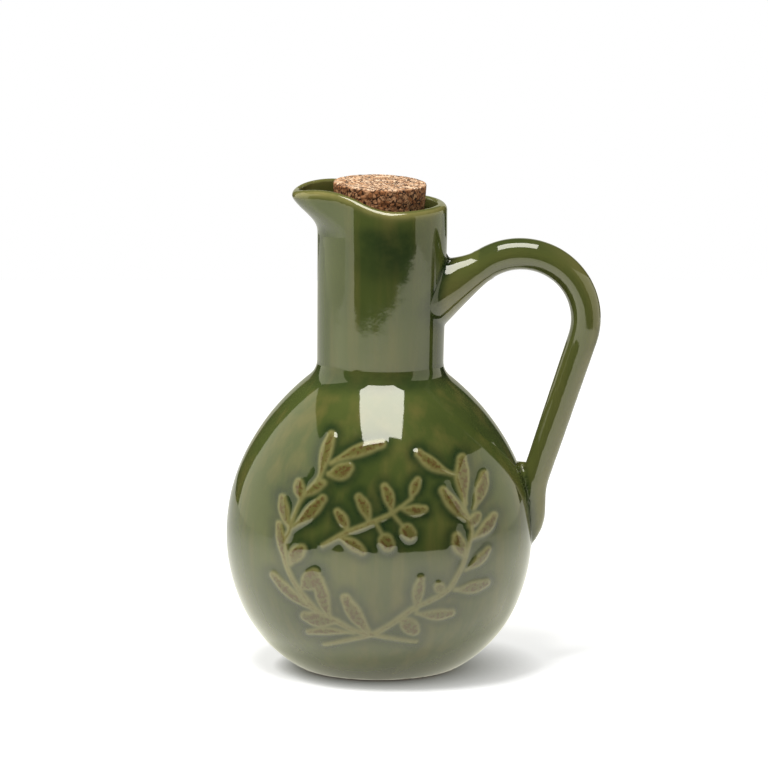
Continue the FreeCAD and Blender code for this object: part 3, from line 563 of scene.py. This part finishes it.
def makeJug():
    shape = evenMesh("jug", jug["grid"])
    lowX, highX, lowZ, highZ = wreath["reach"]
    parts, flow = jug["mesh"], jug["flow"]

    def lining(points):
        return hollowForm(*points.T) < parts["lining"]

    def fine(points):
        x, y, z = points.T
        (sideX, sideZ), (jointX, jointY, jointZ) = parts["side"], parts["joints"]
        front = (y < parts["front"]) & (x > lowX) & (x < highX) & (z > lowZ) & (z < highZ)
        upper = (z > parts["top"]) | ((x > sideX) & (z > sideZ)) | (x > parts["handle"])
        joints = (x > jointX) & (np.abs(y) < jointY) & (z > jointZ)
        neckFoot = (z > parts["neckFoot"][0]) & (z < parts["neckFoot"][1])
        return ((front | joints | neckFoot) & ~lining(points)) | upper

    def finest(points):
        x, y, z = points.T
        (width, creaseX, creaseZ), (rimWidth, rimZ) = parts["crease"], parts["rim"]
        border = parts["reliefBorder"]
        front = ((y < parts["relief"]) & (np.abs(x) < parts["reliefSide"]) & (z > lowZ + border)
                 & (z < highZ - border) & ~lining(points))
        handle = np.minimum(rootForm(x, y, z), handleForm(x, y, z))
        creases = ((np.abs(potForm(x, y, z)) < width) & (np.abs(handle) < width)
                   & (x > creaseX) & (z > creaseZ))
        return front | creases | ((np.abs(rimForm(x, y, z)) < rimWidth) & (z > rimZ))

    refine(shape, fine)
    refine(shape, finest)
    for number, vertex in enumerate(shape.verts):
        vertex.index = number
    pairs = np.array([[edge.verts[0].index, edge.verts[1].index] for edge in shape.edges])
    points = relax(places(shape), pairs, 3)
    points = settle(points, jugForm, 5)
    normals = unit(slopeOf(jugForm, points))
    clear = potForm(*points.T)  # how far out a place lies from belly and neck
    calmFrom, calmWidth, calmX = parts["calm"]
    calm = (smoothStep((clear - calmFrom) / calmWidth) * (points[:, 0] > calmX))[:, None]
    normals = unit(normals * (1 - calm) + relax(normals, pairs, jug["calmRounds"]) * calm)
    normals = easeTurn(points, normals)
    print("jug form settled:", len(points), "points")

    x, y, z = points.T
    maps = wreathMaps()
    outside = hollowForm(x, y, z) > flow["wall"]
    facing = (outside & (normals[:, 1] < flow["wreathTurn"]) & (y < flow["wreathFront"])
              & (x > lowX) & (x < highX) & (z > lowZ) & (z < highZ))
    marks = {}
    for name, grid in maps.items():
        marks[name] = np.where(facing, readMap(grid, x, z), 0.0)
    rise = marks.pop("height")
    slopeX, slopeZ = (np.where(facing, readMap(slope, x, z), 0.0)
                      for slope in np.gradient(maps["height"], wreath["step"]))
    points = points + normals * rise[:, None]
    print("wreath and sprig raised by up to", round(float(rise.max()), 2), "mm")
    lifted = normals.copy()
    lifted[:, 0] -= slopeX * wreath["slopeShown"]
    lifted[:, 2] -= slopeZ * wreath["slopeShown"]
    lifted = unit(lifted)

    pot = potForm(x, y, z)
    handle = merge(handleForm(x, y, z), rootForm(x, y, z), 2.0)
    crease = (smoothStep(1.15 - np.abs(handle) / flow["crease"])
              * smoothStep(1.15 - np.abs(pot) / flow["crease"]))
    # painted shade: a darker patch on the front of the neck under the lip
    shaded = flow["shadeUnderLip"]
    under = band(z, *shaded["z"]) * smoothStep(1 - np.abs(x - shaded["middle"]) / shaded["half"]) * (y < 0)
    # painted shade: a dark ring in the hollow at the neck's foot
    ring = band(z, *flow["neckFoot"]["z"]) * (x < flow["neckFoot"]["before"]) * flow["neckFoot"]["depth"]
    # the dark colour: glaze pooled round the wreath and in the handle's creases, plus painted shade under the
    # lip and round the neck's foot
    marks["poolAndShade"] = np.maximum(marks["poolAndShade"] * (1 - marks["relief"]), np.where(outside, crease, 0.0))
    marks["poolAndShade"] = np.maximum(marks["poolAndShade"], np.where(outside, np.maximum(under, ring), 0.0))

    grip, crown, lip = flow["handle"], flow["crown"], flow["lip"]
    marks["handleAndSpoutLight"] = np.where(outside, smoothStep(pot / grip["over"]), 0.0) * (x > grip["from"])
    outward = smoothStep((normals[:, 0] - grip["facing"][0]) / grip["facing"][1])
    edge = smoothStep(1 - np.abs(rimForm(x, y, z)) / lip["width"]) * (z > lip["from"])
    marks["thin"] = np.maximum(edge * np.where(outside, 1.0, lip["inside"]),
                               marks["handleAndSpoutLight"] * grip["thin"] * outward)
    # painted light: the inside of the spout by its mouth takes the lighter handle colour, as if lit
    throat = smoothStep((z - flow["throat"]["from"]) / flow["throat"]["rise"])
    throat = throat * smoothStep(-x / flow["throat"]["reach"]) * ~outside
    marks["handleAndSpoutLight"] = np.maximum(marks["handleAndSpoutLight"], throat)
    upward = smoothStep((normals[:, 2] - crown["facing"][0]) / crown["facing"][1])
    onCrown = marks["handleAndSpoutLight"] * crown["depth"] * upward * (x > crown["from"])
    marks["poolAndShade"] = np.maximum(marks["poolAndShade"], onCrown)
    marks["bare"] = smoothStep((flow["bare"]["below"] - z) / flow["bare"]["border"])
    made = finishMesh("jugGlazed", shape, points, lifted, marks)
    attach(made, "root")
    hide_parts("jug")
    return made


def cells(points, scale, seed):  # how far off the nearest two grains are, and a number for the nearest
    q = points / scale
    base = np.floor(q)
    first, second, number = np.full(len(q), 9.0), np.full(len(q), 9.0), np.zeros(len(q))
    for dx in (-1, 0, 1):
        for dy in (-1, 0, 1):
            for dz in (-1, 0, 1):
                cell = base + (dx, dy, dz)
                mix = cell @ np.array([12.9898, 78.233, 37.719]) + seed
                jitter = np.stack([np.modf(np.abs(np.sin(mix * turn) * 43758.5453))[0]
                                   for turn in (1.0, 1.37, 1.91)], 1)
                far = np.linalg.norm(cell + jitter - q, axis=1)
                closer = far < first
                second = np.where(closer, first, np.minimum(second, far))
                number = np.where(closer, np.modf(np.abs(np.sin(mix * 2.63) * 24634.6345))[0], number)
                first = np.where(closer, far, first)
    return first, second, number


def makeCork():
    shape = evenMesh("cork", cork["grid"])
    shape.normal_update()
    points = places(shape)
    normals = np.array([vertex.normal for vertex in shape.verts])
    depth, away = corkAxis(*points.T)
    warp = points + cork["bend"] * np.sin(points[:, [1, 2, 0]] * cork["bendRate"])
    first, second, grain = cells(warp, cork["granule"], cork["seeds"][0])
    gap = smoothStep(1 - (second - first) * cork["granule"] / cork["crack"])
    gap = gap * (grain > 1 - cork["crackShare"])
    near, _, speck = cells(warp, cork["speck"], cork["seeds"][1])
    pit = smoothStep(1 - near * cork["speck"] / cork["speckHole"])
    pit = pit * (speck > 1 - cork["speckShare"])
    sideFrom, sideWidth, topFrom, topWidth = cork["side"]
    onSide = smoothStep((away - sideFrom) / sideWidth) * smoothStep((depth - topFrom) / topWidth)
    share = cork["topDepth"] + (1 - cork["topDepth"]) * onSide
    inward = cork["pit"] * (cork["crackDepth"] * gap + pit) * share + cork["grainStep"] * grain
    points = points - normals * np.clip(inward, 0, cork["deepest"])[:, None]
    made = finishMesh("corkStopper", shape, points, None,
                      {"gap": np.clip(gap + pit, 0, 1), "onSide": onSide})
    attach(made, "root")
    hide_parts("cork")
    return made


glazeLook = {
    "colours": {
        # the pool colour stands for pooled glaze and for painted shade; the handle colour is also painted
        # light inside the spout
        "olive": "#4f582a", "deep": "#39451e", "warm": "#656032", "poolAndShade": "#182c17", "thin": "#827a48",
        "handle": "#54582b", "crest": "#968f5c", "core": "#645c30", "speckle": "#543a20", "clay": "#b39c80",
    },
    # each pattern: size across and down in millimetres, detail, the range it is read over, what that gives
    "patterns": {
        "drift": (40.0, 40.0, 2.0, 0.35, 0.65, 0.0, 0.8),       # how thick the glaze lies
        "cloud": (6.25, 6.25, 4.0, 0.3, 0.7, 0.55, 1.0),        # how thin and pooled places break up
        "runs": (7.6923, 62.5, 3.0, 0.45, 0.7, 0.0, 0.65),      # glaze drawn out downwards
        "specks": (1.42857, 1.42857, 4.0, 0.47, 0.58, 0.0, 0.75),   # iron, drawn coarser than real to show
    },
    # how much the handle colour shows, on the handle and as painted light inside the spout
    "handleAndSpoutLight": 0.75, "onCrest": 0.95, "crestDrift": 0.35,
    "ior": 1.7, "specular": (1.0, 0.975, 0.86, 1.0), "roughGlaze": 0.045, "roughClay": 0.8,
    # each bump: size in millimetres, detail, strength, height in millimetres
    "peel": (5.88235, 1.0, 0.03, 0.6), "wrinkle": (1.0, 2.0, 0.02, 0.2),
}


def layered(tree, colour, layers):  # lays colours over one, each with its place and how much shows there
    for top, place, share in layers:
        cover = addNode(tree, "ShaderNodeMath", {0: place, 1: share}, operation="MULTIPLY", use_clamp=True)
        colour = addNode(tree, "ShaderNodeMix", {0: cover.outputs[0], 6: colour, 7: top},
                         data_type="RGBA").outputs[2]
    return colour


def glazeMaterial():
    # Stoneware under a clear olive glaze, dipped and fired: glass over clay, so it is deep green where it
    # runs together, tan where an edge thins it, and mirror-bright all over. Its dark colour also carries
    # painted shade under the lip and round the neck's foot, and the handle colour is painted light inside the
    # spout.
    material, tree = newMaterial("olive celadon glaze on stoneware, dipped and fired")
    tint = {name: hexColour(code) for name, code in glazeLook["colours"].items()}
    where = addNode(tree, "ShaderNodeTexCoord").outputs["Object"]
    mark = {name: addNode(tree, "ShaderNodeAttribute", attribute_name=name).outputs["Fac"]
            for name in ("relief", "core", "poolAndShade", "thin", "handleAndSpoutLight", "bare")}
    span = {}
    for name, (across, down, detail, low, high, least, most) in glazeLook["patterns"].items():
        scale = (perMetre(across), perMetre(across), perMetre(down))
        sized = addNode(tree, "ShaderNodeMapping", {"Vector": where, "Scale": scale}).outputs[0]
        noise = addNode(tree, "ShaderNodeTexNoise", {"Vector": sized, "Scale": 1.0, "Detail": detail})
        span[name] = addNode(tree, "ShaderNodeMapRange", {
            0: noise.outputs["Fac"], 1: low, 2: high, 3: least, 4: most}).outputs[0]

    crest = layered(tree, tint["crest"], [
        (tint["core"], mark["core"], 1.0), (tint["olive"], span["drift"], glazeLook["crestDrift"])])
    colour = layered(tree, tint["olive"], [
        (tint["deep"], span["drift"], 1.0), (tint["warm"], span["runs"], 1.0),
        # the handle colour, which also paints light inside the spout
        (tint["handle"], mark["handleAndSpoutLight"], glazeLook["handleAndSpoutLight"]),
        # the pool colour: pooled glaze, and painted shade under the lip and at the neck's foot
        (tint["poolAndShade"], mark["poolAndShade"], span["cloud"]), (tint["thin"], mark["thin"], span["cloud"]),
        (crest, mark["relief"], glazeLook["onCrest"]), (tint["speckle"], mark["core"], span["specks"]),
        (tint["clay"], mark["bare"], 1.0)])
    rough = addNode(tree, "ShaderNodeMapRange", {
        0: mark["bare"], 1: 0.0, 2: 1.0, 3: glazeLook["roughGlaze"], 4: glazeLook["roughClay"]}).outputs[0]
    # orange peel of the melted glaze, about 6 mm from crest to crest, and hair-fine wrinkles 1 mm apart
    normal = None
    for size, detail, strength, height in (glazeLook["peel"], glazeLook["wrinkle"]):
        noise = addNode(tree, "ShaderNodeTexNoise", {
            "Vector": where, "Scale": perMetre(size), "Detail": detail})
        links = {"Height": noise.outputs["Fac"], "Strength": strength, "Distance": height * mm}
        if normal is not None:
            links["Normal"] = normal
        normal = addNode(tree, "ShaderNodeBump", links).outputs[0]
    shader = addNode(tree, "ShaderNodeBsdfPrincipled", {
        "Base Color": colour, "Roughness": rough, "IOR": glazeLook["ior"], "Normal": normal,
        "Specular Tint": glazeLook["specular"]}).outputs[0]
    addNode(tree, "ShaderNodeOutputMaterial", {"Surface": shader})
    return material


corkLook = {
    "colours": {
        "light": "#eccaa8", "mid": "#c4946a", "dark": "#74492c", "skin": "#b08658", "crack": "#23130c",
    },
    "granule": 1.92308, "fleck": 0.8, "waveSize": 1.42857, "wave": 1.1,     # millimetres
    # the range each pattern is read over, and what that gives
    "spans": {
        "tone": (0.1, 0.9, 0.0, 1.0), "dark": (0.66, 0.74, 0.0, 0.75), "hole": (0.9, 0.94, 0.0, 0.9),
        "border": (0.03, 0.12, 1.0, 0.0), "apart": (0.35, 0.5, 0.0, 1.0),
    },
    "onSide": 0.75, "inGap": 0.5, "rough": 0.9, "ior": 1.4, "bump": (0.4, 0.4),     # strength, millimetres
}


def corkMaterial():
    # Agglomerated cork, granules pressed with binder and ground to shape: dull, each granule its own brown.
    material, tree = newMaterial("agglomerated cork, pressed and ground")
    tint = {name: hexColour(code) for name, code in corkLook["colours"].items()}
    where = addNode(tree, "ShaderNodeTexCoord").outputs["Object"]
    mark = {name: addNode(tree, "ShaderNodeAttribute", attribute_name=name).outputs["Fac"]
            for name in ("gap", "onSide")}
    # granules of about 2 mm with bent edges, flecks of about 0.8 mm between them
    wave = addNode(tree, "ShaderNodeTexNoise", {
        "Vector": where, "Scale": perMetre(corkLook["waveSize"]), "Detail": 2.0}).outputs["Color"]
    shift = addNode(tree, "ShaderNodeVectorMath", {0: wave, "Scale": corkLook["wave"] * mm},
                    operation="SCALE").outputs[0]
    bent = addNode(tree, "ShaderNodeVectorMath", {0: where, 1: shift}, operation="ADD").outputs[0]
    grains = {}
    for name, size, feature in (("tone", "granule", "F1"), ("fleck", "fleck", "F1"),
                                ("border", "granule", "DISTANCE_TO_EDGE")):
        grains[name] = addNode(tree, "ShaderNodeTexVoronoi", {
            "Vector": bent, "Scale": perMetre(corkLook[size])}, feature=feature).outputs
    tone = addNode(tree, "ShaderNodeSeparateColor", {0: grains["tone"]["Color"]}).outputs
    fleck = addNode(tree, "ShaderNodeSeparateColor", {0: grains["fleck"]["Color"]}).outputs
    border = grains["border"]["Distance"]
    sources = {"tone": tone[0], "dark": fleck[0], "hole": fleck[1], "border": border, "apart": tone[1]}
    span = {}
    for name, (low, high, least, most) in corkLook["spans"].items():
        span[name] = addNode(tree, "ShaderNodeMapRange", {
            0: sources[name], 1: low, 2: high, 3: least, 4: most}).outputs[0]

    colour = layered(tree, tint["light"], [(tint["mid"], span["tone"], 1.0)])
    skin = addNode(tree, "ShaderNodeMath", {0: mark["onSide"], 1: corkLook["onSide"]},
                   operation="MULTIPLY").outputs[0]
    colour = addNode(tree, "ShaderNodeMix", {0: skin, 6: colour, 7: tint["skin"]},
                     data_type="RGBA", blend_type="MULTIPLY").outputs[2]
    colour = layered(tree, colour, [
        (tint["dark"], span["dark"], 1.0), (tint["crack"], span["hole"], 1.0),
        (tint["crack"], span["border"], span["apart"]), (tint["crack"], mark["gap"], corkLook["inGap"])])
    strength, height = corkLook["bump"]
    bump = addNode(tree, "ShaderNodeBump", {
        "Height": border, "Strength": strength, "Distance": height * mm}).outputs[0]
    shader = addNode(tree, "ShaderNodeBsdfPrincipled", {
        "Base Color": colour, "Roughness": corkLook["rough"], "Normal": bump,
        "IOR": corkLook["ior"]}).outputs[0]
    addNode(tree, "ShaderNodeOutputMaterial", {"Surface": shader})
    return material


# the studio, in millimetres
studio = {
    "table": [(-920, -700), (-528, -459), (-462, -478), (-222, -611), (0, -636), (133, -626), (335, -580),
              (540, -453), (649, -345), (780, -350), (780, 765), (-780, 765)],
    "overhead": {"centre": (32, -138, 900), "size": (496, 564), "glow": 8.0},
    "left": {"x": -705, "y": (-282, 712), "top": (850, 850), "glow": 1.1},
    "right": {"x": 705, "y": (-400, 748), "top": (620, 330), "glow": 0.95},
    "back": {"x": (-300, 300), "y": 765, "top": 460, "glow": 0.55},
    "key": {"at": (-190, -290, 915), "size": 260, "power": 9.0},
    "cloth": "#fffee8",     # unbleached white
    "below": 0.2,           # how far the table lies under the foot
    "fill": 0.39,           # what the room gives to the colours
    "dark": 0.02,           # what the gloss sees where there is no lamp
    "paper": 0.55, "paperShown": 0.68,
    # the sheet as the gloss sees it: from, to, bright, dim; and its shade round the foot
    "fall": (-100, 250, 1.25, 0.35), "edge": (200, 420, 1.0, 0.70), "glossShade": (12, 0.6),
    "footShade": (-30, 45, 6, 21),      # reach of the foot's shade: from and to on X, and how far there
}


def makeCard(name, corners, glow):  # a flat lit card, hidden from the camera
    mesh = bpy.data.meshes.new(name)
    mesh.from_pydata([[c * mm for c in corner] for corner in corners], [], [(0, 1, 2, 3)])
    made = addObject(name, mesh)
    material, tree = newMaterial(name + " diffuser cloth")
    tone = hexColour("#ffffff" if name == "overheadBox" else studio["cloth"])
    light = addNode(tree, "ShaderNodeEmission", {"Color": tone, "Strength": glow}).outputs[0]
    addNode(tree, "ShaderNodeOutputMaterial", {"Surface": light})
    mesh.materials.append(material)
    made.visible_camera = False
    made.visible_shadow = False
    made.visible_diffuse = name != "overheadBox"


def makeStudio():
    corners = [(x * mm, y * mm, -studio["below"] * mm) for x, y in studio["table"]]
    mesh = bpy.data.meshes.new("table")
    mesh.from_pydata(corners, [], [range(len(corners))])
    table = addObject("table", mesh)
    material, tree = newMaterial("white paper sweep")
    path = addNode(tree, "ShaderNodeLightPath").outputs
    place = addNode(tree, "ShaderNodeTexCoord").outputs["Object"]
    split = addNode(tree, "ShaderNodeSeparateXYZ", {0: place}).outputs
    away = addNode(tree, "ShaderNodeVectorMath", {0: place}, operation="LENGTH").outputs["Value"]

    # the foot shades the sheet close by, further out on the side away from the lamp
    low, high, least, most = (size * mm for size in studio["footShade"])
    reach = addNode(tree, "ShaderNodeMapRange", {
        0: split["X"], 1: low, 2: high, 3: least, 4: most}).outputs[0]
    contact = addNode(tree, "ShaderNodeAmbientOcclusion", {"Distance": reach}, samples=8).outputs["AO"]
    plain = addNode(tree, "ShaderNodeMath", {0: path["Is Camera Ray"], 1: studio["paperShown"]},
                    operation="MULTIPLY").outputs[0]
    shown = addNode(tree, "ShaderNodeMath", {0: plain, 1: contact}, operation="MULTIPLY").outputs[0]

    # in the gloss the sheet falls off towards the back, so that the outlines of the jug stay green
    glare = path["Is Glossy Ray"]
    for value, name in ((split["Y"], "fall"), (away, "edge")):
        low, high, bright, dim = studio[name]
        fade = addNode(tree, "ShaderNodeMapRange", {
            0: value, 1: low * mm, 2: high * mm, 3: bright, 4: dim}).outputs[0]
        glare = addNode(tree, "ShaderNodeMath", {0: glare, 1: fade}, operation="MULTIPLY").outputs[0]
    reach, darkest = studio["glossShade"]
    close = addNode(tree, "ShaderNodeAmbientOcclusion", {"Distance": reach * mm}, samples=8).outputs["AO"]
    shade = addNode(tree, "ShaderNodeMapRange", {0: close, 1: 0.0, 2: 1.0, 3: darkest, 4: 1.0}).outputs[0]
    glare = addNode(tree, "ShaderNodeMath", {0: glare, 1: shade}, operation="MULTIPLY").outputs[0]

    level = addNode(tree, "ShaderNodeMath", {0: shown, 1: glare}, operation="ADD").outputs[0]
    grey = (studio["paper"],) * 3 + (1.0,)
    paper = addNode(tree, "ShaderNodeBsdfDiffuse", {"Color": grey}).outputs[0]
    tone = addNode(tree, "ShaderNodeMix", {0: path["Is Glossy Ray"], 6: (1, 1, 1, 1),
                                           7: hexColour(studio["cloth"])}, data_type="RGBA").outputs[2]
    light = addNode(tree, "ShaderNodeEmission", {"Color": tone, "Strength": level}).outputs[0]
    both = addNode(tree, "ShaderNodeAddShader", {0: paper, 1: light}).outputs[0]
    addNode(tree, "ShaderNodeOutputMaterial", {"Surface": both})
    mesh.materials.append(material)

    (midX, midY, up), (wide, deep) = studio["overhead"]["centre"], studio["overhead"]["size"]
    lowX, highX, lowY, highY = midX - wide / 2, midX + wide / 2, midY - deep / 2, midY + deep / 2
    makeCard("overheadBox", [(lowX, lowY, up), (lowX, highY, up), (highX, highY, up), (highX, lowY, up)],
             studio["overhead"]["glow"])
    for name, a, b in (("left", 0, 1), ("right", 1, 0)):
        x, y, top = studio[name]["x"], studio[name]["y"], studio[name]["top"]
        makeCard(name + "Box", [(x, y[a], 0), (x, y[b], 0), (x, y[b], top[b]), (x, y[a], top[a])],
                 studio[name]["glow"])
    x, y, top = studio["back"]["x"], studio["back"]["y"], studio["back"]["top"]
    makeCard("backCard", [(x[0], y, 0), (x[1], y, 0), (x[1], y, top), (x[0], y, top)],
             studio["back"]["glow"])

    key = bpy.data.lights.new("keyLamp", "AREA")
    key.size = studio["key"]["size"] * mm
    key.energy = studio["key"]["power"]
    lamp = addObject("keyLamp", key)
    lamp.location = [c * mm for c in studio["key"]["at"]]
    lamp.rotation_euler = (-lamp.location).to_track_quat("-Z", "Y").to_euler()
    lamp.visible_glossy = False

    world = bpy.data.worlds.new("studio")
    bpy.context.scene.world = world
    world.use_nodes = True
    tree = world.node_tree
    tree.nodes.clear()
    path = addNode(tree, "ShaderNodeLightPath").outputs
    room = addNode(tree, "ShaderNodeMapRange", {
        0: path["Is Glossy Ray"], 1: 0.0, 2: 1.0, 3: studio["fill"], 4: studio["dark"]}).outputs[0]
    clear = addNode(tree, "ShaderNodeMath", {0: path["Is Camera Ray"], 1: path["Is Transmission Ray"]},
                    operation="MAXIMUM").outputs[0]
    level = addNode(tree, "ShaderNodeMapRange", {0: clear, 1: 0.0, 2: 1.0, 3: room, 4: 1.0}).outputs[0]
    sky = addNode(tree, "ShaderNodeBackground", {"Color": (1, 1, 1, 1), "Strength": level}).outputs[0]
    addNode(tree, "ShaderNodeOutputWorld", {"Surface": sky})
    print("studio lit")


makeStudio()
jugPiece = makeJug()
jugPiece.data.materials.append(glazeMaterial())
print("jug made:", sum(len(face.vertices) - 2 for face in jugPiece.data.polygons), "triangles")
corkPiece = makeCork()
corkPiece.data.materials.append(corkMaterial())
print("cork made:", sum(len(face.vertices) - 2 for face in corkPiece.data.polygons), "triangles")
